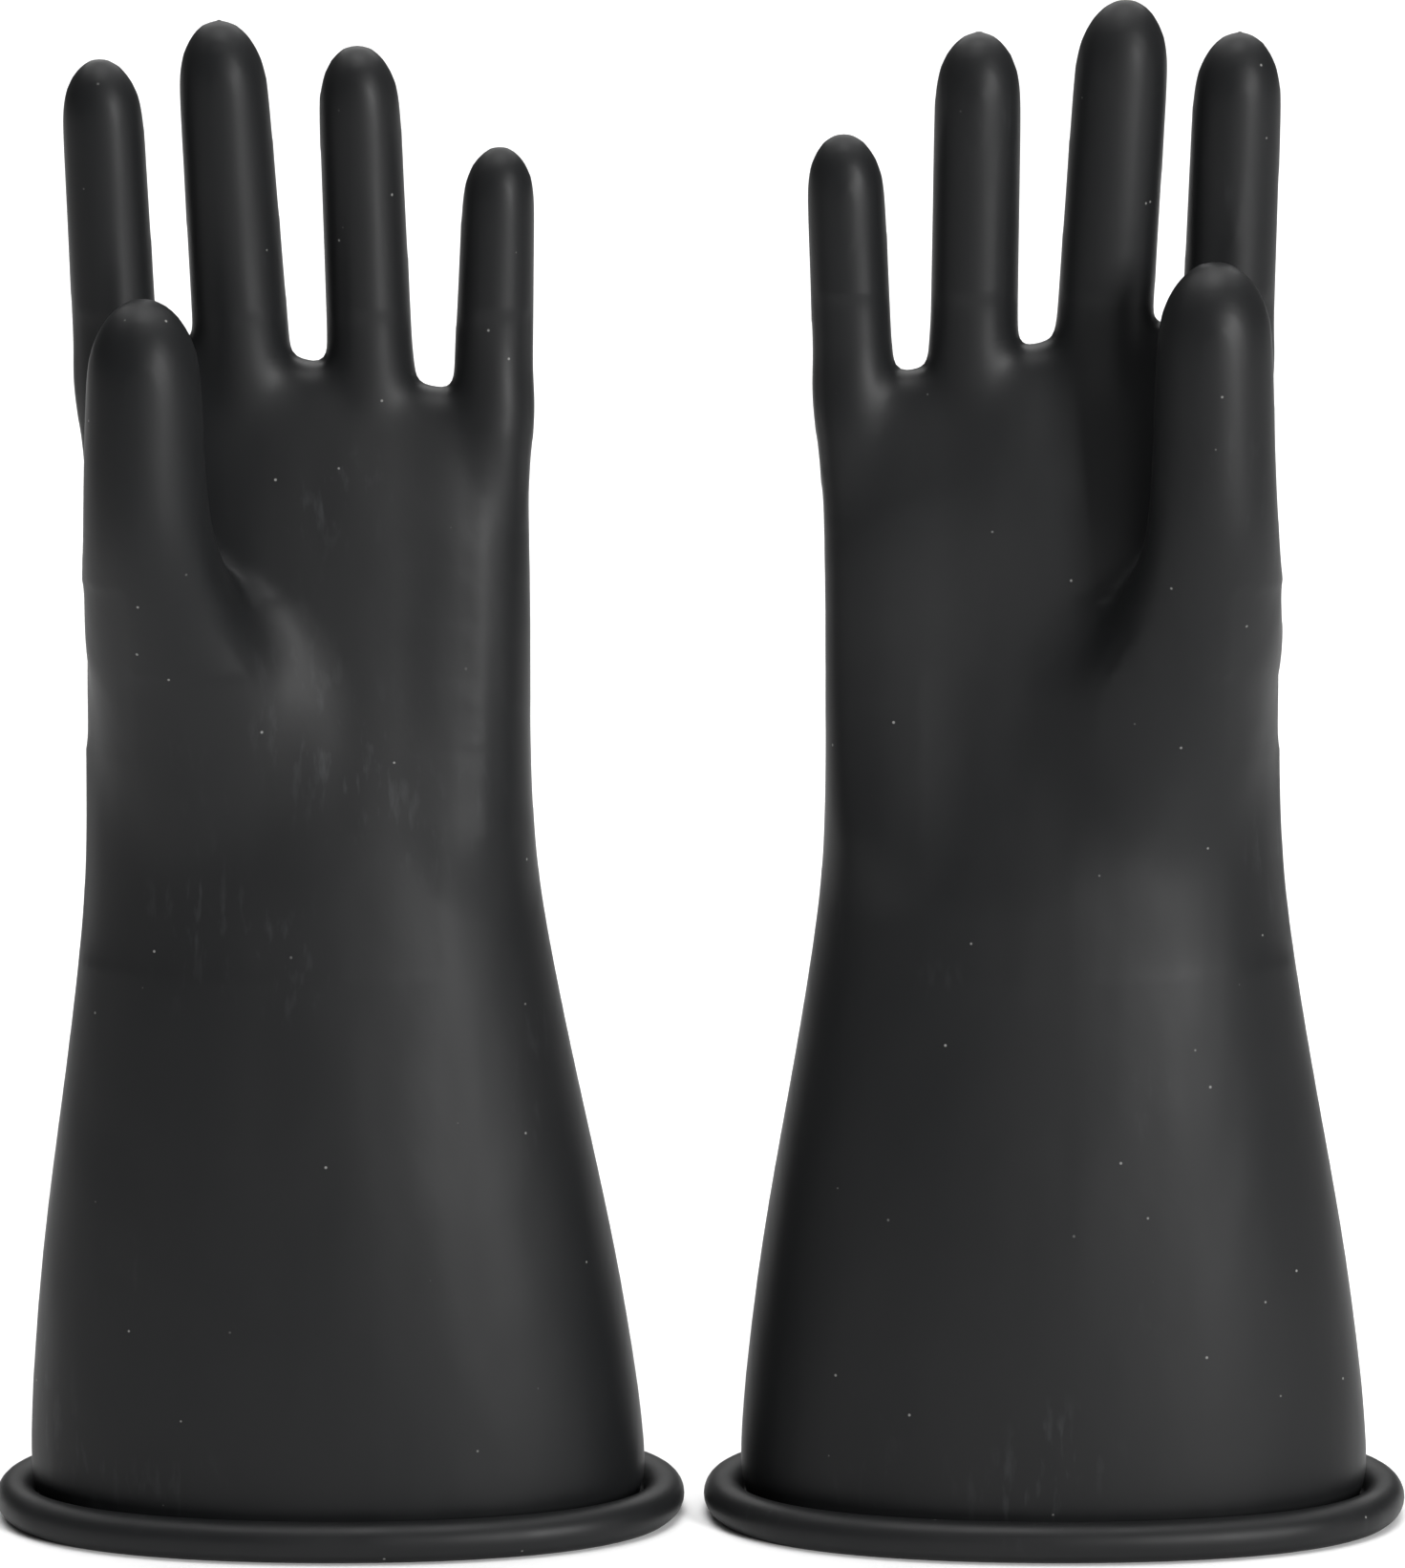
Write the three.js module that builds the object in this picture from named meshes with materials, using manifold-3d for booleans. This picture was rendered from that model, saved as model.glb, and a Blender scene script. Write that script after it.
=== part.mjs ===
// A pair of long electrical insulating gloves, standing fingers up on their rolled cuffs.
// Each glove is one dipped rubber skin: a rolled bead, a flared gauntlet, a wrist, a palm with a
// thumb stub, and five hollow digits. The skin flexes at the wrist and at two places on each digit,
// so those flex bands and the firmer stretches between them are separate sub-parts.
// Units are millimetres. +X is to the right, +Y points away from the palms, +Z is up, and the
// origin is on the floor, midway between the two cuffs.
import * as THREE from 'three';
import { mergeVertices } from 'three/addons/utils/BufferGeometryUtils.js';
import Module from 'manifold-3d';

const wasm = await Module();
wasm.setup();

// Driving dimensions
const WALL = 2;                 // thickness of the rubber
const GAP = 0.3;                // clearance between neighbouring sub-parts
const LEFT_CUFF_X = -85.5;      // centre of the left glove's cuff
const RIGHT_CUFF_X = 84;        // centre of the right glove's cuff
const BODY_SIDES = 28;          // facets round the gauntlet, wrist and palm
const DIGIT_SIDES = 12;         // facets round a digit

// The rolled bead at the mouth
const BEAD_RADIUS = 4.8;        // radius of the roll
const BEAD_FLAT = 2.4;          // half the width of its flattened underside
const BEAD_REACH = 3.6;         // from the outside of the skirt out to the centre of the roll
const BEAD_TOP = 11;            // where the skirt leaves the roll

// Levels where one stretch of a glove passes to the next
const WRIST_FLOOR = 154;
const WRIST_TOP = 174;
const PALM_TOP = 273;
const THUMB_STUB_FLOOR = 196;
const THUMB_STUB_TOP = 238;

// Outer half-width a and half-depth b of the hand and gauntlet at each height z
const BODY_RINGS = [
  { z: 0, a: 74.6, b: 40 },
  { z: 17, a: 74.6, b: 40 },
  { z: 40, a: 72.2, b: 39 },
  { z: 63, a: 69.2, b: 37.5 },
  { z: 86, a: 65.2, b: 35.5 },
  { z: 108, a: 61.1, b: 33 },
  { z: 131, a: 57.3, b: 30.5 },
  { z: 154, a: 54.1, b: 27.8 },
  { z: 177, a: 53.1, b: 26.3 },
  { z: 200, a: 53.2, b: 25.2 },
  { z: 223, a: 53.2, b: 22.6 },
  { z: 246, a: 52.8, b: 18 },
  { z: 264, a: 52.7, b: 14 },
  { z: 273, a: 51, b: 9 },
];

// Each digit's centre line and radius: x counts from the middle of the hand towards the thumb.
// foot is where it leaves the palm, top is its tip, and curl is how far the tip leans to the palm.
const RIGHT_DIGITS = {
  index: { footX: 41.5, topX: 43.8, footRadius: 10.9, topRadius: 10.3, foot: 279, top: 352.5, curl: 3 },
  middle: { footX: 12.7, topX: 17.8, footRadius: 11.3, topRadius: 10.8, foot: 279, top: 360, curl: 3 },
  ring: { footX: -17.2, topX: -16.3, footRadius: 10.6, topRadius: 10, foot: 279, top: 352.5, curl: 3 },
  little: { footX: -45.3, topX: -47.9, footRadius: 9.5, topRadius: 9.1, foot: 277, top: 329, curl: 2 },
};
const LEFT_DIGITS = {
  index: { footX: 44, topX: 47.3, footRadius: 10, topRadius: 9.6, foot: 276, top: 346.3, curl: 3 },
  middle: { footX: 14.7, topX: 20, footRadius: 11.2, topRadius: 10.3, foot: 276, top: 355.2, curl: 3 },
  ring: { footX: -14.9, topX: -12, footRadius: 10.2, topRadius: 9.5, foot: 276, top: 349.5, curl: 3 },
  little: { footX: -43.5, topX: -45.5, footRadius: 9.4, topRadius: 8.6, foot: 274, top: 326, curl: 2 },
};

// The thumb stands in front of the index finger: it leaves the ball of the thumb low on the palm
const RIGHT_THUMB = { x: 36.4, top: 303.5 };
const LEFT_THUMB = { x: 35.4, top: 295 };
const THUMB_RINGS = [
  { z: 196, y: -10, a: 15, b: 11 },
  { z: 214, y: -19, a: 15.4, b: 13 },
  { z: 228, y: -29, a: 14.6, b: 13.2 },
  { z: 238, y: -34.4, a: 14, b: 12.8 },
  { z: 262, y: -35, a: 13.2, b: 13 },
  { z: 274, y: -35.2, a: 12.9, b: 12.9 },
  { z: 290, y: -35.4, a: 12.5, b: 12.5 },
];

// How far up a digit, from foot to tip, its flex bands start and end
const ROOT_BAND = [0, 0.165];
const KNUCKLE_BAND = [0.42, 0.58];
const DOME_START = 0.86;

// How each glove stands: side is +1 with its thumb towards +X, lean shifts it sideways with height
const GLOVES = [
  {
    name: 'left',
    side: -1,
    centreX: LEFT_CUFF_X,
    widthScale: 0.98,
    digits: LEFT_DIGITS,
    thumb: LEFT_THUMB,
    lean: [
      { z: 0, x: 0 },
      { z: 17, x: -0.5 },
      { z: 86, x: -3.1 },
      { z: 177, x: -6.3 },
      { z: 250, x: -5.9 },
    ],
  },
  {
    name: 'right',
    side: 1,
    centreX: RIGHT_CUFF_X,
    widthScale: 1,
    digits: RIGHT_DIGITS,
    thumb: RIGHT_THUMB,
    lean: [
      { z: 0, x: 0 },
      { z: 86, x: -0.9 },
      { z: 177, x: -1.5 },
      { z: 219, x: -1.8 },
      { z: 253, x: -3.4 },
    ],
  },
];

// The values at height z between the entries of a list that is sorted by z
function atHeight(list, z) {
  const above = list.findIndex((entry) => entry.z > z);
  if (above === 0) return list[0];
  if (above < 0) return list[list.length - 1];
  const low = list[above - 1];
  const high = list[above];
  const t = (z - low.z) / (high.z - low.z);
  const between = {};
  for (const key of Object.keys(low)) between[key] = THREE.MathUtils.lerp(low[key], high[key], t);
  return between;
}

// Heights from low to high in equal steps
function levels(low, high, steps) {
  return Array.from({ length: steps + 1 }, (_, i) => low + ((high - low) * i) / steps);
}

// Spin a profile of [radius, height] points about Z, then press it into the oval section that
// shape(z) gives as { x, y, a, b }: a point that lies inside the outline by some depth keeps it.
function spinToOval(profile, shape, sides) {
  const points = profile.map(([radius, height]) => new THREE.Vector2(radius, height));
  const geometry = new THREE.LatheGeometry(points, sides);
  geometry.rotateX(Math.PI / 2);
  const position = geometry.attributes.position;
  for (let i = 0; i < position.count; i += 1) {
    const x = position.getX(i);
    const y = position.getY(i);
    const z = position.getZ(i);
    const radius = Math.hypot(x, y);
    const section = shape(z);
    const depth = section.a - radius;
    const across = radius > 0.01 ? x / radius : 0;
    const along = radius > 0.01 ? y / radius : 0;
    position.setXYZ(i, section.x + radius * across, section.y + (section.b - depth) * along, z);
  }
  return geometry;
}

// A closed solid from a lathe geometry, whose faces are turned outwards if they point in
function toSolid(geometry) {
  const bare = geometry.clone();
  bare.deleteAttribute('normal');
  bare.deleteAttribute('uv');
  const merged = mergeVertices(bare, 1e-4);
  const corners = merged.index.array;
  const kept = [];
  for (let i = 0; i < corners.length; i += 3) {
    const [a, b, c] = [corners[i], corners[i + 1], corners[i + 2]];
    if (a !== b && b !== c && c !== a) kept.push(a, b, c);
  }
  const places = merged.attributes.position.array;
  if (signedVolume(places, kept) < 0) {
    for (let i = 0; i < kept.length; i += 3) [kept[i], kept[i + 1]] = [kept[i + 1], kept[i]];
  }
  return new wasm.Manifold(new wasm.Mesh({
    numProp: 3,
    vertProperties: new Float32Array(places),
    triVerts: new Uint32Array(kept),
  }));
}

function signedVolume(places, corners) {
  const [a, b, c] = [new THREE.Vector3(), new THREE.Vector3(), new THREE.Vector3()];
  let sum = 0;
  for (let i = 0; i < corners.length; i += 3) {
    a.fromArray(places, corners[i] * 3);
    b.fromArray(places, corners[i + 1] * 3);
    c.fromArray(places, corners[i + 2] * 3);
    sum += a.dot(b.cross(c)) / 6;
  }
  return sum;
}

function toGeometry(solid) {
  const mesh = solid.getMesh();
  const geometry = new THREE.BufferGeometry();
  geometry.setAttribute('position', new THREE.BufferAttribute(new Float32Array(mesh.vertProperties), 3));
  geometry.setIndex(new THREE.BufferAttribute(new Uint32Array(mesh.triVerts), 1));
  geometry.computeVertexNormals();
  return geometry;
}

// An open tube of rubber between two heights
function tube(shape, low, high, steps, sides) {
  const heights = levels(low, high, steps);
  const outside = heights.map((z) => [shape(z).a, z]);
  const inside = heights.map((z) => [shape(z).a - WALL, z]).reverse();
  return toSolid(spinToOval([...outside, ...inside, outside[0]], shape, sides));
}

// A filled oval block between two heights, set inside the outline by inset
function block(shape, low, high, steps, sides, inset = 0) {
  const rim = levels(low, high, steps).map((z) => [shape(z).a - inset, z]);
  return toSolid(spinToOval([[0, low], ...rim, [0, high]], shape, sides));
}

// A digit's closed end: a tube that rounds over to a dome at the tip
function fingertip(shape, low, domeFloor, top, sides) {
  const domeSteps = 5;
  const wall = (inset) => {
    const points = [];
    const radius = shape(domeFloor).a - inset;
    const rise = top - inset - domeFloor;
    for (let i = 0; i <= domeSteps; i += 1) {
      const turn = (Math.PI / 2) * (1 - i / domeSteps);
      points.push([i === 0 ? 0 : radius * Math.cos(turn), domeFloor + rise * Math.sin(turn)]);
    }
    points.push([shape(low).a - inset, low]);
    return points;
  };
  const rounded = (z) => {
    const section = shape(Math.min(z, domeFloor));
    return { ...shape(z), a: section.a, b: section.a };
  };
  return toSolid(spinToOval([...wall(0), ...wall(WALL).reverse()], rounded, sides));
}

// The rolled bead: a round roll, flattened underneath, with a short skirt that the gauntlet meets
function bead(shape) {
  const skirt = shape(0).a;
  const centre = skirt + BEAD_REACH;
  const flatAngle = Math.asin(BEAD_FLAT / BEAD_RADIUS);
  const startAngle = -Math.PI / 2 + flatAngle;
  const creaseAngle = Math.acos(-BEAD_REACH / BEAD_RADIUS);
  const rollHeight = BEAD_RADIUS * Math.cos(flatAngle);
  const roll = levels(startAngle, creaseAngle, 8).map((angle) => [
    centre + BEAD_RADIUS * Math.cos(angle),
    rollHeight + BEAD_RADIUS * Math.sin(angle),
  ]);
  const inner = skirt - WALL;
  const profile = [
    [inner + 1.2, 0],
    ...roll,
    [skirt, BEAD_TOP],
    [inner, BEAD_TOP],
    [inner, 1.6],
    [inner + 1.2, 0],
  ];
  return toSolid(spinToOval(profile, () => shape(0), BODY_SIDES));
}

// The hand block with its five stubs, hollowed through from the wrist to every stub's mouth
function palm(shape, digits, thumbShape) {
  let solid = block(shape, WRIST_TOP, PALM_TOP, 8, BODY_SIDES);
  let hollow = block(shape, WRIST_TOP - 1, PALM_TOP - WALL, 8, BODY_SIDES, WALL);
  for (const digit of digits) {
    const footBlock = (low, high, inset) => block(digit.shape, low, high, 2, DIGIT_SIDES, inset);
    solid = solid.add(footBlock(PALM_TOP - 16, digit.foot, 0));
    hollow = hollow.add(footBlock(PALM_TOP - 14, digit.foot + 1, WALL));
  }
  const thumbBlock = (low, high, inset) => block(thumbShape, low, high, 5, DIGIT_SIDES + 4, inset);
  solid = solid.add(thumbBlock(THUMB_STUB_FLOOR, THUMB_STUB_TOP, 0));
  hollow = hollow.add(thumbBlock(THUMB_STUB_FLOOR + 1, THUMB_STUB_TOP + 1, WALL));
  return solid.subtract(hollow);
}

const rubberColour = new THREE.Color('#26282b');
const group = new THREE.Group();

function addPart(parent, name, solid) {
  const material = new THREE.MeshStandardMaterial({ color: rubberColour, roughness: 0.6, metalness: 0 });
  const mesh = new THREE.Mesh(toGeometry(solid), material);
  mesh.name = name;
  parent.add(mesh);
}

// A digit's root band, lower stretch, knuckle band and tip, one above the other
function addDigit(parent, name, shape, foot, top, sides) {
  const height = (fraction) => foot + (top - foot) * fraction;
  const [rootFloor, rootTop] = ROOT_BAND.map(height);
  const [knuckleFloor, knuckleTop] = KNUCKLE_BAND.map(height);
  addPart(parent, `${name}_root`, tube(shape, rootFloor + GAP, rootTop, 1, sides));
  addPart(parent, `${name}_lower`, tube(shape, rootTop + GAP, knuckleFloor, 1, sides));
  addPart(parent, `${name}_knuckle`, tube(shape, knuckleFloor + GAP, knuckleTop, 1, sides));
  addPart(parent, `${name}_tip`, fingertip(shape, knuckleTop + GAP, height(DOME_START), top, sides));
}

for (const glove of GLOVES) {
  const place = new THREE.Group();
  place.position.x = glove.centreX;
  group.add(place);

  const leanAt = (z) => atHeight(glove.lean, z).x;
  const bodyShape = (z) => {
    const ring = atHeight(BODY_RINGS, z);
    return { x: leanAt(z), y: 0, a: ring.a * glove.widthScale, b: ring.b };
  };
  const thumbShape = (z) => {
    const ring = atHeight(THUMB_RINGS, z);
    return { x: leanAt(z) + glove.side * glove.thumb.x, y: ring.y, a: ring.a, b: ring.b };
  };
  const fingers = Object.entries(glove.digits).map(([name, digit]) => {
    const shape = (z) => {
      const t = (z - digit.foot) / (digit.top - digit.foot);
      const rise = THREE.MathUtils.clamp(t, 0, 1);
      const radius = THREE.MathUtils.lerp(digit.footRadius, digit.topRadius, rise);
      const x = THREE.MathUtils.lerp(digit.footX, digit.topX, t);
      return { x: leanAt(z) + glove.side * x, y: -digit.curl * rise * rise, a: radius, b: radius };
    };
    return { name, shape, foot: digit.foot, top: digit.top };
  });

  addPart(place, `${glove.name}_cuff_bead`, bead(bodyShape));
  addPart(place, `${glove.name}_gauntlet`, tube(bodyShape, BEAD_TOP + GAP, WRIST_FLOOR, 7, BODY_SIDES));
  addPart(place, `${glove.name}_wrist`, tube(bodyShape, WRIST_FLOOR + GAP, WRIST_TOP - GAP, 1, BODY_SIDES));
  addPart(place, `${glove.name}_palm`, palm(bodyShape, fingers, thumbShape));
  for (const finger of fingers) {
    addDigit(place, `${glove.name}_${finger.name}`, finger.shape, finger.foot, finger.top, DIGIT_SIDES);
  }
  addDigit(place, `${glove.name}_thumb`, thumbShape, THUMB_STUB_TOP, glove.thumb.top, DIGIT_SIDES + 4);
}

export default group;
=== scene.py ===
# %% [markdown]
# # A pair of electrical insulating gloves
#
# The real gloves are made by dipping a glazed hand-shaped former into latex again and again. What
# comes off the former is one seamless skin: matt, black, about two millimetres thick, with a
# flared gauntlet and a bead that is rolled up by hand at the mouth. This script makes that skin
# the way the former is made, as full round volumes that melt into each other, and then hollows it.

# %% Load the frame
import math

import bpy
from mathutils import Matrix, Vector


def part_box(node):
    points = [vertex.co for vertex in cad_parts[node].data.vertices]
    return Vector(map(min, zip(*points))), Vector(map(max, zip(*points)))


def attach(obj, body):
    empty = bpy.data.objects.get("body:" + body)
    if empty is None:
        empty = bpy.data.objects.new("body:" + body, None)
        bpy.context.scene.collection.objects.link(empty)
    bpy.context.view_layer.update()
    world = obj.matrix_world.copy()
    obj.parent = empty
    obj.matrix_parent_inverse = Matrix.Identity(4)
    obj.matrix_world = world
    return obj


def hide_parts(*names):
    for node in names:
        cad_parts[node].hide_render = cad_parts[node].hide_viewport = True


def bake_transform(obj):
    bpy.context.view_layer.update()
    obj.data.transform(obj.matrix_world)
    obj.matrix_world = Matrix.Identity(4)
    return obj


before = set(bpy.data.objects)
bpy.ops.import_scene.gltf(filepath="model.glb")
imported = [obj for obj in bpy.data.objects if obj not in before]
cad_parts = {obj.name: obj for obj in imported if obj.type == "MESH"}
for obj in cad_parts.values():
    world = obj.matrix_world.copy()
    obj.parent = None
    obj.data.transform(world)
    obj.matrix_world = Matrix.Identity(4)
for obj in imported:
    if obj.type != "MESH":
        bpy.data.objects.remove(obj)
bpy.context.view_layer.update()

# %% [markdown]
# ## Measures
#
# Places come from the frame: a digit's two ends tell where its centre line runs. The flare of the
# gauntlet and the depth of the hand are the former's own numbers, so they are named here once, in
# millimetres. Everything is then worked out in metres, which is what the frame uses.

# %% Named measures
MM = 0.001
WALL = 2.0 * MM               # thickness of the dipped rubber
VOXEL = 1.35 * MM             # how finely the melted volumes are resampled
MOUTH = 2.0 * MM              # the skin starts this far above the floor, inside the bead
SLEEVE_TOP = 188 * MM         # where the gauntlet's skin is cut from the hand's skin
BEAD_RADIUS = 4.8 * MM
BEAD_REACH = 3.6 * MM         # from the outside of the skin to the centre of the roll
THUMB_CUT = 241 * MM          # where the thumb's own skin starts
THUMB_BACK = -17.8 * MM       # the y that parts the thumb from the fingers behind it
CUT_ABOVE_CROTCH = {"index": 5 * MM, "middle": 5 * MM, "ring": 5 * MM, "little": 2 * MM}
FINGER_SHARES = (0.30, 0.35, 0.66)  # the firm cut and the knuckle bend, as parts of the length
THUMB_SHARES = (0.36, 0.37, 0.70)
DIGITS = ("thumb", "index", "middle", "ring", "little")
FINGERS = DIGITS[1:]

# Height, half-width, half-depth of the gauntlet and hand, from below the floor to the knuckles
FLARE = (
    (-12, 74.8, 40.2), (17, 74.9, 40.2), (40, 72.5, 39.2), (63, 69.5, 37.7), (86, 65.5, 35.6),
    (108, 61.4, 33.2), (131, 57.5, 30.6), (154, 54.2, 28.0), (177, 53.2, 26.2), (200, 53.2, 23.8),
    (220, 53.1, 20.3), (238, 52.7, 16.8), (253, 52.2, 13.8),
)
WIDTHS = [(z, a) for z, a, b in FLARE]
DEPTHS = [(z, b) for z, a, b in FLARE]


def middle(low, high):
    """The point halfway between two corners."""
    return (Vector(low) + Vector(high)) / 2


def near_value(pairs, height):
    """A value between the (height, value) pairs, held level past both ends."""
    if height <= pairs[0][0]:
        return pairs[0][1]
    for (low, first), (high, last) in zip(pairs, pairs[1:]):
        if height <= high:
            return first + (last - first) * (height - low) / (high - low)
    return pairs[-1][1]


GLOVES = {
    "left": {
        "side": -1, "width": 0.98, "crotch": 272.2 * MM,
        "lean": ((0, 0.0), (17, -0.5), (86, -3.1), (177, -6.3), (250, -5.9)),
    },
    "right": {
        "side": 1, "width": 1.0, "crotch": 276.5 * MM,
        "lean": ((0, 0.0), (86, -0.9), (177, -1.5), (219, -1.8), (253, -3.4)),
    },
}
for name, glove in GLOVES.items():
    glove["centre"] = middle(*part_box(f"{name}_cuff_bead")).x
    for digit in DIGITS:
        root = middle(*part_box(f"{name}_{digit}_root"))
        tip = middle(*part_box(f"{name}_{digit}_tip"))
        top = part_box(f"{name}_{digit}_tip")[1][2]
        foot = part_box(f"{name}_{digit}_root")[0][2]
        print(name, digit, "root", [round(v, 4) for v in root], "tip", [round(v, 4) for v in tip])
        glove[digit] = {"root": root, "tip": tip, "foot": foot, "top": top}

# %% [markdown]
# ## Helpers
#
# An operator acts on whatever is selected, so the first helper clears the selection and picks one
# object, and the second picks faces by where they lie.

# %% Selecting an object, and selecting faces by place
def work_on(piece):
    """Select only this piece and make it the active one."""
    bpy.ops.object.select_all(action="DESELECT")
    piece.select_set(True)
    bpy.context.view_layer.objects.active = piece


def pick_faces(piece, wanted):
    """Enter edit mode with only the faces selected whose centre passes the test."""
    work_on(piece)
    bpy.ops.object.mode_set(mode="EDIT")
    bpy.ops.mesh.select_mode(type="FACE")
    bpy.ops.mesh.select_all(action="DESELECT")
    bpy.ops.object.mode_set(mode="OBJECT")
    for face in piece.data.polygons:
        face.select = wanted(face.center)
    bpy.ops.object.mode_set(mode="EDIT")


def apply_modifier(piece, kind, **settings):
    """Add one modifier with these settings and apply it."""
    work_on(piece)
    modifier = piece.modifiers.new(kind.title(), kind)
    for setting, value in settings.items():
        setattr(modifier, setting, value)
    bpy.ops.object.modifier_apply(modifier=modifier.name)


# %% [markdown]
# ## One limb of the former
#
# A finger, a thumb, the hand and the gauntlet are all the same kind of shape: a stack of ovals.
# A disc is added, extruded to the next height, scaled to the next oval, and so on. Subdividing
# then rounds the stack. It could also be a lathe profile, but fingers lean and flatten, and a
# stack of ovals does both.

# %% A stack of ovals
def oval_stack(rings, sides=32, crown_tilt=0.0):
    """A closed limb through rings of (height, x, y, half-width, half-depth).

    A crown tilt turns the last two rings about the depth axis, so that one side ends higher.
    """
    z, x, y, a, b = rings[0]
    bpy.ops.object.select_all(action="DESELECT")
    bpy.ops.mesh.primitive_circle_add(vertices=sides, radius=1, fill_type="NGON", location=(x, y, z))
    limb = bpy.context.object
    bpy.ops.object.mode_set(mode="EDIT")
    bpy.ops.mesh.select_all(action="SELECT")
    bpy.ops.transform.resize(value=(a, b, 1), center_override=(x, y, z))
    for low, high in zip(rings, rings[1:]):
        step = (high[1] - low[1], high[2] - low[2], high[0] - low[0])
        bpy.ops.mesh.extrude_region_move(TRANSFORM_OT_translate={"value": step})
        growth = (high[3] / low[3], high[4] / low[4], 1)
        bpy.ops.transform.resize(value=growth, center_override=(high[1], high[2], high[0]))
        if crown_tilt and high in rings[-2:]:
            pivot = (high[1], high[2], high[0])
            bpy.ops.transform.rotate(value=crown_tilt / 2, orient_axis="Y", center_override=pivot)
    bpy.ops.mesh.select_all(action="SELECT")
    bpy.ops.mesh.normals_make_consistent(inside=False)
    bpy.ops.object.mode_set(mode="OBJECT")
    bpy.ops.object.transform_apply(location=True, rotation=True, scale=True)
    apply_modifier(limb, "SUBSURF", levels=2, render_levels=2)
    return limb


# %% [markdown]
# ## The hand and gauntlet
#
# The widest volume: a flared oval sleeve that narrows at the wrist and flattens towards the
# knuckles. It starts below the floor, so that its mouth can be cut off clean later.

# %% Hand and gauntlet volume
def hand_width(glove, z):
    """The hand's half-width and its middle's x at a height in millimetres."""
    a = near_value(WIDTHS, z) * MM * glove["width"]
    return a, glove["centre"] + near_value(glove["lean"], z) * MM


def hand_depth(z):
    return near_value(DEPTHS, z) * MM


CROWN_TILT = math.radians(11.5)   # the crotches step down towards the little finger
CROWN = ((-4, 0.8, 10.0), (4, 3.0, 7.0))  # height from the crotch, how much narrower, half-depth


def hand_volume(glove):
    rings = []
    for z, _, b in FLARE:
        a, x = hand_width(glove, z)
        rings.append((z * MM, x, 0.0, a, b * MM))
    top_x, top_a = rings[-1][1], rings[-1][3]
    for rise, narrower, b in CROWN:
        z = glove["crotch"] + rise * MM
        rings.append((z, top_x, 0.0, top_a - narrower * MM, b * MM))
    return oval_stack(rings, sides=48, crown_tilt=glove["side"] * CROWN_TILT)


# %% [markdown]
# ## The fingers
#
# Each finger is nearly straight and ends in a long rounded tip, more pointed than half a ball.
# It widens where it leaves the hand, so that two neighbours meet in a round crotch, and it runs
# on down inside the hand, where it gives the palm its squarer edges.

# %% Finger volumes
TIP_STRETCH = 1.55            # a tip's rounding is this many radii long
FOOT_RINGS = (                # how far below the crotch, and the width and depth in foot radii
    (86, 0.4, 0.3), (58, 0.62, 0.5), (34, 0.82, 0.76), (16, 0.98, 0.95), (6, 1.05, 1.0),
)
FINGER_GIRTH = {              # radius at the foot and near the tip, millimetres
    "left": {"index": (9.9, 9.6), "middle": (11.3, 10.5), "ring": (10.0, 9.6), "little": (9.3, 8.6)},
    "right": {"index": (10.8, 10.4), "middle": (11.3, 11.0), "ring": (10.3, 10.2), "little": (9.4, 9.2)},
}


def finger_volume(glove, glove_name, finger):
    line = glove[finger]
    foot_radius, tip_radius = (value * MM for value in FINGER_GIRTH[glove_name][finger])
    foot, top = line["foot"], line["top"]
    lean = (line["tip"].x - line["root"].x) / (line["tip"].z - line["root"].z)
    curl = line["tip"].y - line["root"].y
    outer = {"index": 1, "little": -1}.get(finger, 0)
    crotch = glove["crotch"] + {"little": -6 * MM}.get(finger, 0)

    def centre(z):
        rise = (z - foot) / (top - foot)
        return line["root"].x + (z - line["root"].z) * lean, curl * max(rise, 0) ** 2

    rings = []
    for below, wider, deeper in FOOT_RINGS:
        z = crotch - below * MM
        radius = foot_radius * wider
        x = centre(max(z, crotch - 20 * MM))[0]
        if outer and below > 10:
            a, middle_x = hand_width(glove, z / MM)
            flush = middle_x + glove["side"] * outer * (a - radius - 0.5 * MM)
            x += (flush - x) * min(1, (below - 6) / 28)
        rings.append((z, x, 0.0, radius, foot_radius * deeper))
    for above, wider in ((1, 1.06), (6, 1.01)):
        x, y = centre(crotch + above * MM)
        rings.append((crotch + above * MM, x, y, foot_radius * wider, foot_radius))
    dome = top - TIP_STRETCH * tip_radius
    shaft_floor = crotch + 12 * MM
    for i in range(4):
        z = shaft_floor + (dome - shaft_floor) * i / 3
        radius = foot_radius + (tip_radius - foot_radius) * i / 3
        x, y = centre(z)
        rings.append((z, x, y, radius, radius))
    for degrees in (18, 34, 50, 64, 76, 86):
        turn = math.radians(degrees)
        z = dome + (top - dome) * math.sin(turn)
        radius = tip_radius * math.cos(turn)
        x, y = centre(z)
        rings.append((z, x, y, radius, radius))
    return oval_stack(rings)


# %% [markdown]
# ## The thumb and the ball of the thumb
#
# The thumb stands in front of the index finger. Its volume swells into the ball of the thumb,
# which covers half of the palm and sinks back into the wrist.

# %% Thumb volume
THUMB_RINGS = (               # height, x towards the thumb side, y, half-width, half-depth
    (136, 14.0, -1.0, 30.0, 20.0), (152, 14.0, -2.0, 33.0, 22.0), (168, 14.5, -3.4, 34.0, 22.6),
    (184, 16.5, -5.6, 33.5, 22.6), (198, 21.0, -9.4, 31.0, 22.2), (210, 28.0, -14.5, 24.6, 21.2),
    (221, 32.6, -21.0, 19.8, 19.0), (231, 34.6, -28.0, 16.9, 16.4), (241, 35.7, -33.2, 15.1, 14.5),
    (254, 36.1, -34.8, 14.4, 13.7), (266, 36.0, -35.1, 13.9, 13.3),
)
THUMB_MIDDLE_HEIGHT, THUMB_MIDDLE = 243, 36.0    # there the upright thumb stands this far across


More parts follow.
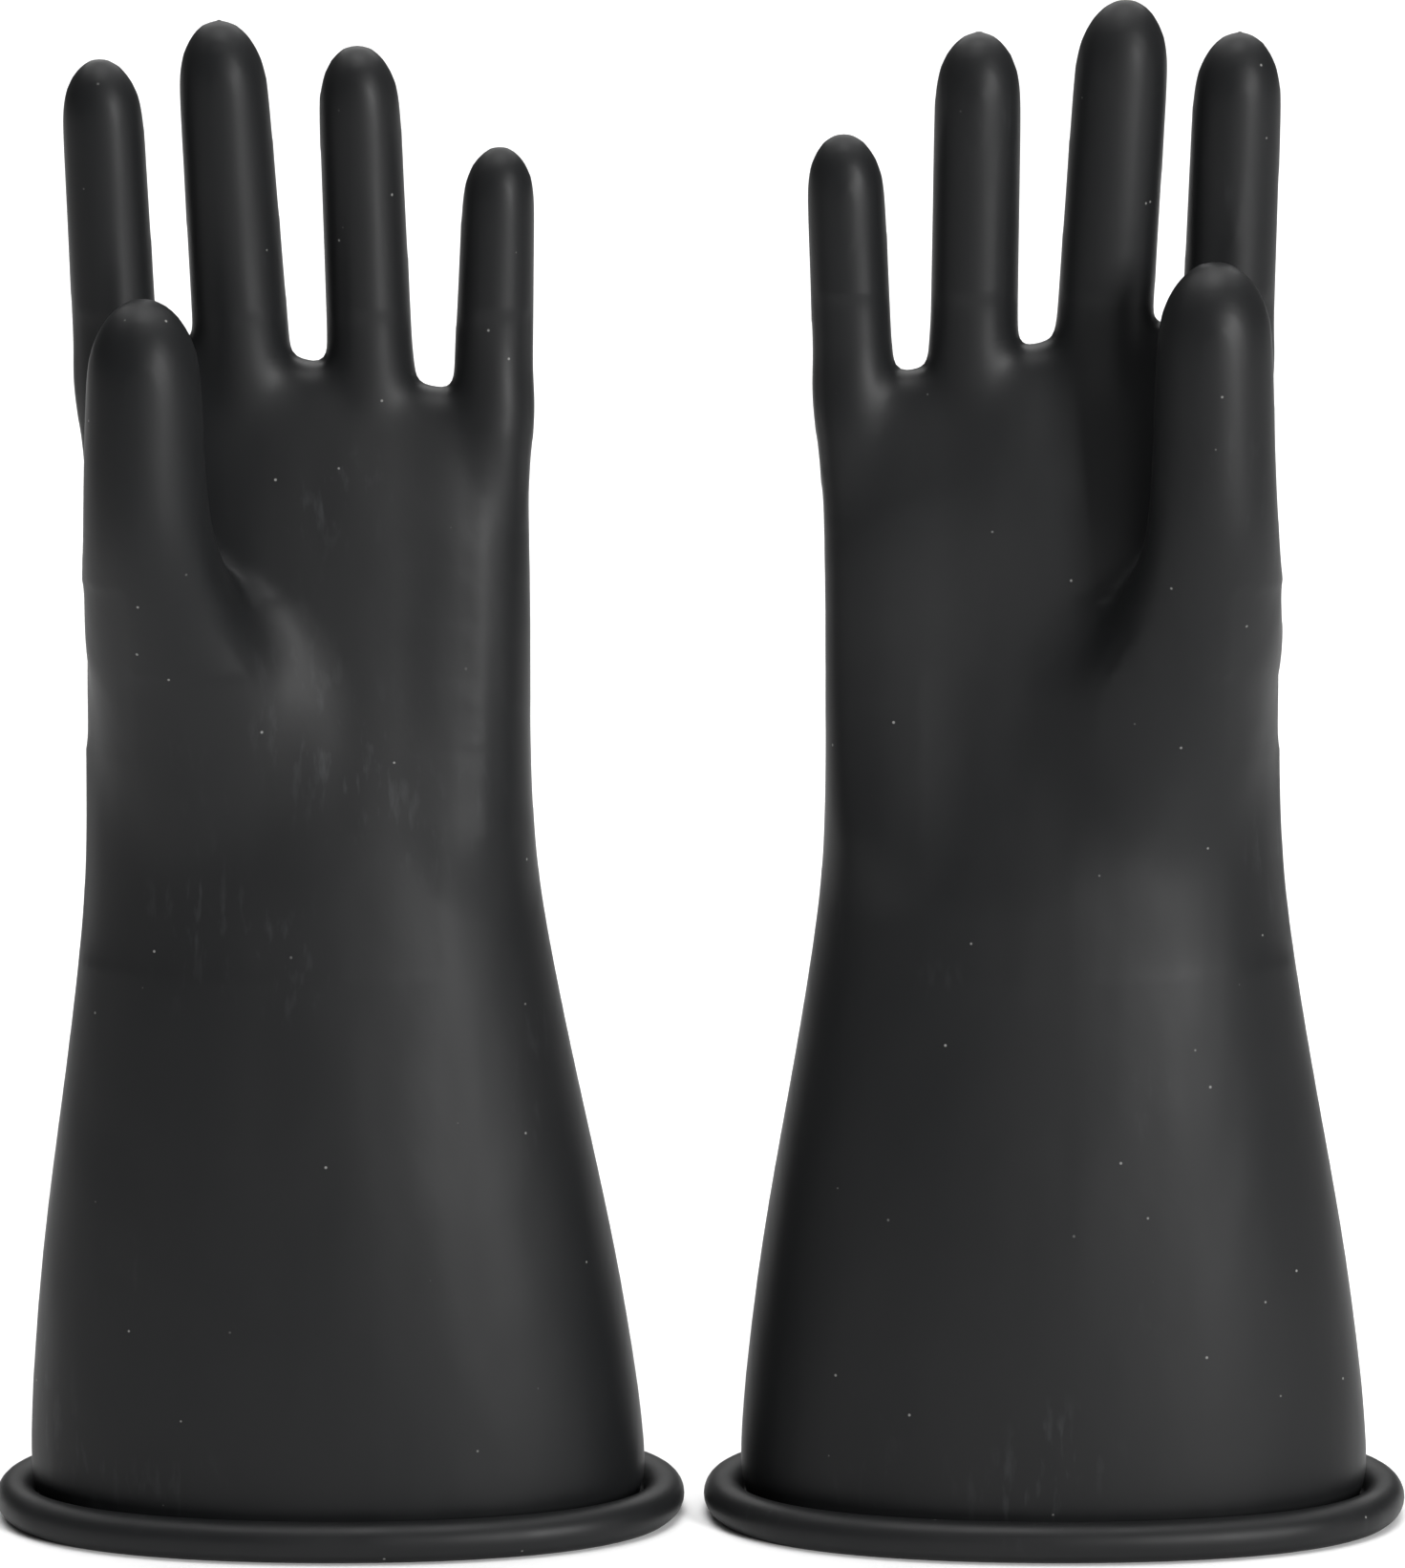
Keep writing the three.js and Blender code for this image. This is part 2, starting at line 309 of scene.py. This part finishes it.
def thumb_volume(glove):
    top = glove["thumb"]["top"]
    upright = hand_width(glove, THUMB_MIDDLE_HEIGHT)[1] + glove["side"] * THUMB_MIDDLE * MM
    shift = glove["thumb"]["root"].x - upright
    rings = []
    for z, x, y, a, b in THUMB_RINGS:
        middle_x = hand_width(glove, z)[1] + shift + glove["side"] * x * MM
        rings.append((z * MM, middle_x, y * MM, a * MM * glove["width"], b * MM))
    _, x, y, a, b = rings[-1]
    dome = max(rings[-1][0] + 2 * MM, top - TIP_STRETCH * a)
    for degrees in (14, 32, 48, 62, 75, 86):
        turn = math.radians(degrees)
        z = dome + (top - dome) * math.sin(turn)
        rings.append((z, x, y, a * math.cos(turn), b * math.cos(turn)))
    return oval_stack(rings, sides=40)


# %% [markdown]
# ## The fold in the palm
#
# The ball of the thumb pushes up a soft fold in the palm. It is a thin stack of ovals that lies
# just under the skin and lifts it by two or three millimetres.

# %% Fold volume
def hand_surface(glove, z, degrees, depth):
    """The point at this depth under the hand's oval; 0 degrees is the thumb side, 90 the palm."""
    a, middle_x = hand_width(glove, z)
    b = hand_depth(z)
    turn = math.radians(degrees)
    normal = Vector((math.cos(turn) / a, -math.sin(turn) / b)).normalized()
    x = a * math.cos(turn) - depth * normal.x
    y = -b * math.sin(turn) - depth * normal.y
    return middle_x + glove["side"] * x, y


FOLD_RADIUS = 4.4 * MM
FOLD_SIZE = {"left": 0.8, "right": 0.35}
PALM_FOLD = (                 # height, x towards the thumb side, how far it stands proud
    (158, -1.0, -2.0), (170, -2.0, -0.3), (182, -3.0, 1.2), (194, -2.6, 2.3), (204, 0.2, 2.9),
    (213, 4.8, 3.2), (222, 11.0, 3.4), (230, 17.5, 2.6),
)


def palm_fold(glove, size):
    rings = []
    for z, across, proud in PALM_FOLD:
        degrees = math.degrees(math.acos(across * MM / hand_width(glove, z)[0]))
        x, y = hand_surface(glove, z, degrees, FOLD_RADIUS - proud * size * MM)
        rings.append((z * MM, x, y, FOLD_RADIUS * 1.15, FOLD_RADIUS))
    return oval_stack(rings, sides=24)


# %% [markdown]
# ## Melting the volumes into one skin
#
# The volumes are joined and remeshed into even little squares, which drops everything inside and
# leaves one outer surface. Smoothing then rounds every meeting line, as the thick latex does on
# the real former.

# %% One smooth skin
def press(skin, wanted, push, radius):
    """Push the picked faces, with an influence that fades out at this radius."""
    pick_faces(skin, wanted)
    bpy.ops.transform.translate(
        value=push, use_proportional_edit=True, proportional_edit_falloff="SMOOTH",
        proportional_size=radius,
    )
    bpy.ops.object.mode_set(mode="OBJECT")


def soften(skin, wanted, times):
    """Smooth the picked faces again and again, to lose the line where two volumes meet."""
    pick_faces(skin, wanted)
    bpy.ops.mesh.vertices_smooth(factor=0.5, repeat=times)
    bpy.ops.object.mode_set(mode="OBJECT")


def melt(volumes, name):
    bpy.ops.object.select_all(action="DESELECT")
    for volume in volumes:
        volume.select_set(True)
    bpy.context.view_layer.objects.active = volumes[0]
    bpy.ops.object.join()
    skin = bpy.context.object
    skin.name = name
    apply_modifier(skin, "REMESH", mode="VOXEL", voxel_size=VOXEL, use_smooth_shade=True)
    apply_modifier(skin, "SMOOTH", factor=0.5, iterations=13)
    print("melted", name, len(skin.data.polygons), "faces")
    return skin


skins = {}
for name, glove in GLOVES.items():
    volumes = [hand_volume(glove), thumb_volume(glove)]
    volumes += [finger_volume(glove, name, finger) for finger in FINGERS]
    volumes.append(palm_fold(glove, FOLD_SIZE[name]))
    skins[name] = melt(volumes, f"{name}_skin")

# %% [markdown]
# ## Easing the shape
#
# Latex has no sharp valleys, so the lines where the ball of the thumb and the fold meet the palm,
# and the feet of the fingers, are smoothed much longer than the rest.

# %% Soften
FOLD_LINE = [(z, across) for z, across, proud in PALM_FOLD]
BALL_FLOOR, BALL_TOP = 136, 206     # heights between which the ball of the thumb swells
BALL_WAIST = {"left": 170, "right": 180}    # below this the whole width of the ball is eased
BALL_REACH = -30                    # how far across the palm the ball is eased


def place_of(glove, c):
    """A face's height and its distance towards the thumb side, both in millimetres."""
    z = c.z / MM
    return z, glove["side"] * (c.x - hand_width(glove, z)[1]) / MM


for name, glove in GLOVES.items():
    def ball(c):
        z, across = place_of(glove, c)
        low = BALL_FLOOR < z < BALL_WAIST[name] and across > BALL_REACH
        side = near_value(FOLD_LINE, z) + 1.5 if name == "left" else BALL_REACH
        return c.y < -4 * MM and (low or (BALL_FLOOR < z < BALL_TOP and across > side))

    def fold(c):
        z, across = place_of(glove, c)
        return 158 < z < 222 and c.y < -4 * MM and abs(across - near_value(FOLD_LINE, z)) < 10

    def finger_feet(c):
        z, across = place_of(glove, c)
        return 240 < z < glove["crotch"] / MM + 14 and abs(c.y) > 4 * MM and c.y > -17 * MM

    def thumb_flank(c):
        z, across = place_of(glove, c)
        return 186 < z < 228 and across > 40

    for zone, times in ((ball, 90), (fold, 40), (finger_feet, 30), (thumb_flank, 40)):
        soften(skins[name], zone, times)
    print("softened", skins[name].name)

# %% [markdown]
# ## Hollow of the palm and squared side
#
# Soft pushes shape the palm. The hollow goes in, much deeper on the right glove. The little-finger
# side is squared by a wide push along a line, and on the left glove a narrow one follows it.

# %% Press
HOLLOW = {"left": (94, 2.0 * MM), "right": (104, 8.0 * MM)}     # degrees round the hand, depth
HOLLOW_HEIGHT, HOLLOW_RADIUS = 200, 48 * MM
SIDE_LINE = -44                     # millimetres from the middle of the hand
SIDE_PUSHES = {                     # how far out, and how wide
    "left": ((1.7 * MM, 22 * MM), (0.25 * MM, 6 * MM)),
    "right": ((1.7 * MM, 22 * MM),),
}

for name, glove in GLOVES.items():
    degrees, depth = HOLLOW[name]
    x, y = hand_surface(glove, HOLLOW_HEIGHT, degrees, 0)
    deepest = Vector((x, y, HOLLOW_HEIGHT * MM))
    press(
        skins[name], lambda c: (c - deepest).length < 4 * MM, push=(0, depth, 0),
        radius=HOLLOW_RADIUS,
    )

    def side_line(c):
        z, across = place_of(glove, c)
        return c.y < 0 and 168 < z < 258 and abs(across - SIDE_LINE) < 1.6

    for out, reach in SIDE_PUSHES[name]:
        push = (-glove["side"] * 0.4 * out, -0.9 * out, 0)
        press(skins[name], side_line, push=push, radius=reach)
    print("pressed", skins[name].name)

# %% [markdown]
# ## The open mouth
#
# The skin still runs on below the floor as a closed bag. A bisect cuts it off just above the
# floor, inside the roll of the bead, and throws the lower part away.

# %% Open the mouth
for skin in skins.values():
    work_on(skin)
    bpy.ops.object.mode_set(mode="EDIT")
    bpy.ops.mesh.select_all(action="SELECT")
    bpy.ops.mesh.bisect(plane_co=(0, 0, MOUTH), plane_no=(0, 0, 1), clear_inner=True)
    bpy.ops.object.mode_set(mode="OBJECT")
    print(skin.name, len(skin.data.polygons), "faces")

# %% [markdown]
# ## Cutting the skin where it bends
#
# The real skin is whole, but a piece here may bend over one joint only. So the skin is cut across
# its firm stretches with a bisect, and the parts are separated. Both sides of a cut keep the same
# points, so no seam shows.

# %% Cut and separate
def cut_off(skin, height, inside, name):
    """Cut the faces that pass the test at this height and separate those above."""
    pick_faces(skin, lambda c: abs(c.z - height) < 6 * MM and inside(c))
    bpy.ops.mesh.bisect(plane_co=(0, 0, height), plane_no=(0, 0, 1))
    bpy.ops.object.mode_set(mode="OBJECT")
    pick_faces(skin, lambda c: c.z > height and inside(c))
    bpy.ops.mesh.separate(type="SELECTED")
    bpy.ops.object.mode_set(mode="OBJECT")
    part = [o for o in bpy.context.selected_objects if o is not skin][0]
    part.name = name
    print(name, len(part.data.polygons), "faces")
    return part


def whole(centre):
    return True


def digit_zone(glove, digit):
    """A test for faces that belong to this digit once it has left the palm."""
    x = glove[digit]["tip"].x
    if digit == "thumb":
        return lambda c: c.y < THUMB_BACK and abs(c.x - x) < 17.5 * MM
    return lambda c: c.y > THUMB_BACK and abs(c.x - x) < 15 * MM


def share_of(digit):
    return THUMB_SHARES if digit == "thumb" else FINGER_SHARES


pieces = {}
for name, glove in GLOVES.items():
    skin = skins[name]
    for digit in DIGITS:
        zone = digit_zone(glove, digit)
        line = glove[digit]
        root_cut = THUMB_CUT if digit == "thumb" else glove["crotch"] + CUT_ABOVE_CROTCH[digit]
        firm_cut = line["foot"] + share_of(digit)[0] * (line["top"] - line["foot"])
        line["root_cut"], line["firm_cut"] = root_cut, firm_cut
        lower = cut_off(skin, root_cut, zone, f"{name}_{digit}_lower_skin")
        pieces[name, digit, "lower"] = lower
        pieces[name, digit, "tip"] = cut_off(lower, firm_cut, whole, f"{name}_{digit}_tip_skin")
    pieces[name, "palm"] = cut_off(skin, SLEEVE_TOP, whole, f"{name}_palm_skin")
    skin.name = f"{name}_gauntlet_skin"
    pieces[name, "gauntlet"] = skin

# %% [markdown]
# ## The thickness of the rubber
#
# Solidify adds the inner wall and closes each rim. It grows inwards, so the outside keeps its size.

# %% Inner walls
for piece in pieces.values():
    apply_modifier(piece, "SOLIDIFY", thickness=WALL, offset=-1, use_rim=True)
    work_on(piece)
    bpy.ops.object.shade_smooth_by_angle(angle=math.radians(50))
print("walls:", len(pieces), "pieces,", WALL / MM, "mm thick")

# %% [markdown]
# ## The rolled bead
#
# The maker rolls the wet edge upwards on itself, which leaves a round cord of rubber that stands
# proud of the gauntlet. A round curve is pressed oval to fit round the mouth and given a thick
# bevel, and the faces that carry the glove are pressed flat on the floor.

# %% Bead
BEAD_SINK = 0.35 * MM         # how much of the roll is pressed flat under the glove's weight


def bead(name, glove):
    a = FLARE[0][1] * MM * glove["width"] + BEAD_REACH
    b = FLARE[0][2] * MM + BEAD_REACH
    bpy.ops.object.select_all(action="DESELECT")
    centre = (glove["centre"], 0, BEAD_RADIUS - BEAD_SINK)
    bpy.ops.curve.primitive_bezier_circle_add(radius=1, location=centre)
    roll = bpy.context.object
    bpy.ops.object.mode_set(mode="EDIT")
    bpy.ops.curve.select_all(action="SELECT")
    bpy.ops.transform.resize(value=(a, b, 1), center_override=roll.location)
    bpy.ops.object.mode_set(mode="OBJECT")
    roll.name = f"{name}_bead_roll"
    roll.data.bevel_depth = BEAD_RADIUS
    roll.data.bevel_resolution = 12
    roll.data.resolution_u = 48
    bpy.ops.object.convert(target="MESH")
    bpy.ops.object.transform_apply(location=True, rotation=True, scale=True)
    pick_faces(roll, lambda c: c.z < 0.25 * MM)
    bpy.ops.transform.resize(value=(1, 1, 0), center_override=(0, 0, 0))
    bpy.ops.object.mode_set(mode="OBJECT")
    bpy.ops.object.shade_smooth()
    print(roll.name, len(roll.data.polygons), "faces")
    return roll


for name, glove in GLOVES.items():
    pieces[name, "bead"] = bead(name, glove)

# %% [markdown]
# ## Black dipped rubber
#
# The finish is matt, with a soft sheen where the skin turns away. Four small effects keep it from
# looking like plastic, and each is a shader group that gives out only a colour, a mask or a
# value: the uneven tone of the dipping, a fine grain, dust specks, and faint scuffs from handling.
# All of them read the piece's own coordinates, so they run on across the cuts.

# %% Groups for tone, grain, dust and scuffs
DARK_RUBBER = (0.0064, 0.0069, 0.0074, 1)
PALER_RUBBER = (0.0088, 0.0091, 0.0095, 1)
SCUFF = (0.020, 0.021, 0.022, 1)
DUST = (0.16, 0.16, 0.155, 1)
ROUGHNESS = (0.43, 0.52)      # from the tight runs to the matt ones


def new_group(name, outputs):
    """An empty shader group with a place input and these outputs."""
    group = bpy.data.node_groups.new(name, "ShaderNodeTree")
    group.interface.new_socket("Place", in_out="INPUT", socket_type="NodeSocketVector")
    for label, kind in outputs:
        group.interface.new_socket(label, in_out="OUTPUT", socket_type=kind)
    return group, group.nodes.new("NodeGroupInput"), group.nodes.new("NodeGroupOutput")


def stretched(group, place, scale):
    """The place, stretched by this scale along each axis."""
    mapping = group.nodes.new("ShaderNodeMapping")
    mapping.inputs["Scale"].default_value = scale
    group.links.new(place.outputs["Place"], mapping.inputs["Vector"])
    return mapping.outputs["Vector"]


def noise(group, vector, scale, detail):
    texture = group.nodes.new("ShaderNodeTexNoise")
    texture.inputs["Scale"].default_value = scale
    texture.inputs["Detail"].default_value = detail
    group.links.new(vector, texture.inputs["Vector"])
    return texture


def ramp(group, value, stops):
    """A colour ramp with stops of (position, colour)."""
    node = group.nodes.new("ShaderNodeValToRGB")
    node.color_ramp.elements[0].position, node.color_ramp.elements[0].color = stops[0]
    node.color_ramp.elements[1].position, node.color_ramp.elements[1].color = stops[1]
    group.links.new(value, node.inputs["Fac"])
    return node


def grey(value):
    return (value, value, value, 1)


def dipped_tone():
    """Broad, slow changes of tone and of sheen, as the latex ran down the former."""
    outputs = (("Color", "NodeSocketColor"), ("Sheen", "NodeSocketFloat"))
    group, place, out = new_group("dipped_tone", outputs)
    clouds = noise(group, stretched(group, place, (1, 1, 0.55)), 22, 3)
    tone = ramp(group, clouds.outputs["Fac"], ((0.3, DARK_RUBBER), (0.7, PALER_RUBBER)))
    group.links.new(tone.outputs["Color"], out.inputs["Color"])
    runs = noise(group, stretched(group, place, (1, 1, 0.3)), 60, 2)
    sheen = ramp(group, runs.outputs["Fac"], ((0.3, grey(ROUGHNESS[0])), (0.7, grey(ROUGHNESS[1]))))
    group.links.new(sheen.outputs["Color"], out.inputs["Sheen"])
    return group


def rubber_grain():
    """Height of the fine pores, with the slow waviness of a hand-dipped skin under it."""
    outputs = (("Pores", "NodeSocketFloat"), ("Waves", "NodeSocketFloat"))
    group, place, out = new_group("rubber_grain", outputs)
    pores = noise(group, place.outputs["Place"], 1300, 2)
    waves = noise(group, stretched(group, place, (1, 1, 0.5)), 55, 1)
    group.links.new(pores.outputs["Fac"], out.inputs["Pores"])
    group.links.new(waves.outputs["Fac"], out.inputs["Waves"])
    return group


def dust_specks():
    """A few tiny pale specks: one small dot in some of the cells of a scattered pattern."""
    group, place, out = new_group("dust_specks", (("Mask", "NodeSocketFloat"),))
    cells = group.nodes.new("ShaderNodeTexVoronoi")
    cells.inputs["Scale"].default_value = 150
    group.links.new(place.outputs["Place"], cells.inputs["Vector"])
    dot = ramp(group, cells.outputs["Distance"], ((0.035, grey(1)), (0.06, grey(0))))
    chosen = ramp(group, cells.outputs["Color"], ((0.60, grey(0)), (0.66, grey(1))))
    both = group.nodes.new("ShaderNodeMath")
    both.operation = "MULTIPLY"
    group.links.new(dot.outputs["Color"], both.inputs[0])
    group.links.new(chosen.outputs["Color"], both.inputs[1])
    group.links.new(both.outputs["Value"], out.inputs["Mask"])
    return group


def handling_scuffs():
    """Faint rubbed patches, broken up into short thin strokes."""
    group, place, out = new_group("handling_scuffs", (("Mask", "NodeSocketFloat"),))
    patches = noise(group, place.outputs["Place"], 17, 1)
    where = ramp(group, patches.outputs["Fac"], ((0.62, grey(0)), (0.74, grey(1))))
    strokes = noise(group, stretched(group, place, (1, 1, 0.25)), 420, 3)
    thin = ramp(group, strokes.outputs["Fac"], ((0.56, grey(0)), (0.72, grey(1))))
    both = group.nodes.new("ShaderNodeMath")
    both.operation = "MULTIPLY"
    group.links.new(where.outputs["Color"], both.inputs[0])
    group.links.new(thin.outputs["Color"], both.inputs[1])
    group.links.new(both.outputs["Value"], out.inputs["Mask"])
    return group


effects = {
    "tone": dipped_tone(), "grain": rubber_grain(), "dust": dust_specks(),
    "scuffs": handling_scuffs(),
}
print("groups:", [group.name for group in effects.values()])

# %% [markdown]
# The material lays those effects over one Principled shader. Scuffs and dust only lighten the
# colour a little. The bead is rolled tight, so it is less wavy and shines a little more.

# %% Material
def black_rubber(name, specular, wave_height):
    material = bpy.data.materials.new(name)
    material.use_nodes = True
    tree = material.node_tree
    shader = tree.nodes["Principled BSDF"]
    shader.inputs["Specular IOR Level"].default_value = specular
    place = tree.nodes.new("ShaderNodeTexCoord").outputs["Object"]
    added = {}
    for label, group in effects.items():
        node = tree.nodes.new("ShaderNodeGroup")
        node.node_tree = group
        tree.links.new(place, node.inputs["Place"])
        added[label] = node
    colour = added["tone"].outputs["Color"]
    for label, paint in (("scuffs", SCUFF), ("dust", DUST)):
        mix = tree.nodes.new("ShaderNodeMix")
        mix.data_type = "RGBA"
        tree.links.new(added[label].outputs["Mask"], mix.inputs["Factor"])
        tree.links.new(colour, mix.inputs["A"])
        mix.inputs["B"].default_value = paint
        colour = mix.outputs["Result"]
    tree.links.new(colour, shader.inputs["Base Color"])
    tree.links.new(added["tone"].outputs["Sheen"], shader.inputs["Roughness"])
    normal = None
    for label, strength, distance in (("Waves", 1.0, wave_height), ("Pores", 0.25, 0.04 * MM)):
        bump = tree.nodes.new("ShaderNodeBump")
        bump.inputs["Strength"].default_value = strength
        bump.inputs["Distance"].default_value = distance
        tree.links.new(added["grain"].outputs[label], bump.inputs["Height"])
        if normal:
            tree.links.new(normal, bump.inputs["Normal"])
        normal = bump.outputs["Normal"]
    tree.links.new(normal, shader.inputs["Normal"])
    return material


skin_rubber = black_rubber("black_dipped_rubber", specular=0.19, wave_height=0.5 * MM)
bead_rubber = black_rubber("black_rolled_rubber", specular=0.22, wave_height=0.3 * MM)
for key, piece in pieces.items():
    piece.data.materials.clear()
    piece.data.materials.append(bead_rubber if key[-1] == "bead" else skin_rubber)
print("materials:", skin_rubber.name, "and", bead_rubber.name)

# %% [markdown]
# ## Bodies
#
# The palm and the bead each ride on one body. The gauntlet and each digit's two pieces, one over
# its root and one over its knuckle, have their places baked in and stay where they stand. The
# frame's parts that the skin stands for are hidden.

# %% Ride, and bake the rest in place
for name, glove in GLOVES.items():
    cuff, hand = f"{name}_cuff", f"{name}_hand"
    gauntlet = pieces[name, "gauntlet"]
    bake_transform(gauntlet)
    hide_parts(f"{name}_gauntlet", f"{name}_wrist")
    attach(pieces[name, "palm"], hand)
    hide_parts(f"{name}_palm")
    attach(pieces[name, "bead"], cuff)
    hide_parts(f"{name}_cuff_bead")
    for digit in DIGITS:
        line = glove[digit]
        x, y = line["root"].x, line["root"].y
        lower, tip = pieces[name, digit, "lower"], pieces[name, digit, "tip"]
        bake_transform(lower)
        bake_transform(tip)
        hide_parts(f"{name}_{digit}_root", f"{name}_{digit}_lower")
        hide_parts(f"{name}_{digit}_knuckle", f"{name}_{digit}_tip")

print("on bodies:", len(pieces), "pieces")

# %% [markdown]
# ## Studio
#
# A plain pale floor, washed white by one wide overhead light that stands behind the gloves, so
# that their fronts stay dark. A tall soft light at the front right gives the sheen and the
# thumb's shadow on the palm. One above brings out the fingertips and the beads, and two weak ones
# keep the front and the left edges readable.

# %% Floor, light and camera
bpy.ops.object.select_all(action="DESELECT")
bpy.ops.mesh.primitive_plane_add(size=30, location=(0, 0, 0))
floor = bpy.context.object
floor.name = "studio_floor"
floor_paint = bpy.data.materials.new("pale_floor")
floor_paint.use_nodes = True
floor_shader = floor_paint.node_tree.nodes["Principled BSDF"]
floor_shader.inputs["Base Color"].default_value = (0.92, 0.92, 0.92, 1)
floor_shader.inputs["Roughness"].default_value = 0.95
floor_shader.inputs["Specular IOR Level"].default_value = 0.0
floor.data.materials.append(floor_paint)

scene = bpy.context.scene
scene.view_settings.view_transform = "Standard"
world = bpy.data.worlds.new("studio")
world.use_nodes = True
world.node_tree.nodes["Background"].inputs["Color"].default_value = (1, 1, 1, 1)
world.node_tree.nodes["Background"].inputs["Strength"].default_value = 0.07
scene.world = world


def soft_light(name, azimuth, elevation, distance, width, height, power, target=(0, 0, 0.2)):
    """A soft panel that faces its target; azimuth 0 is at the camera, + is to the right."""
    turn, rise = math.radians(azimuth), math.radians(elevation)
    away = Vector((math.sin(turn) * math.cos(rise), -math.cos(turn) * math.cos(rise), math.sin(rise)))
    bpy.ops.object.light_add(type="AREA", location=Vector(target) + away * distance)
    light = bpy.context.object
    light.name = name
    light.data.shape = "RECTANGLE"
    light.data.size, light.data.size_y = width, height
    light.data.energy = power
    light.rotation_euler = (-away).to_track_quat("-Z", "Y").to_euler()
    return light


soft_light("key", azimuth=37, elevation=14, distance=2.6, width=0.5, height=1.0, power=68)
soft_light("front", azimuth=12, elevation=24, distance=2.6, width=0.6, height=0.6, power=2)
soft_light("top", azimuth=0, elevation=80, distance=1.8, width=1.0, height=1.0, power=15)
soft_light("fill", azimuth=-62, elevation=24, distance=2.4, width=1.0, height=1.4, power=0.3)
soft_light("floor_wash", azimuth=180, elevation=89.5, distance=3.0, width=5.0, height=7.0, power=265,
           target=(0, 2.9, 0))

CAMERA_DISTANCE = 2.0
CAMERA_ELEVATION = math.radians(10.6)
CAMERA_LENS = 196.2           # a long lens, on a sensor 36 wide
aim = Vector((0.0005, 0, 0.1758))
away = Vector((0, -math.cos(CAMERA_ELEVATION), math.sin(CAMERA_ELEVATION)))
bpy.ops.object.camera_add(location=aim + away * CAMERA_DISTANCE)
camera = bpy.context.object
camera.rotation_euler = (-away).to_track_quat("-Z", "Y").to_euler()
camera.data.lens = CAMERA_LENS
camera.data.sensor_width = 36
camera.data.clip_end = 100
scene.camera = camera
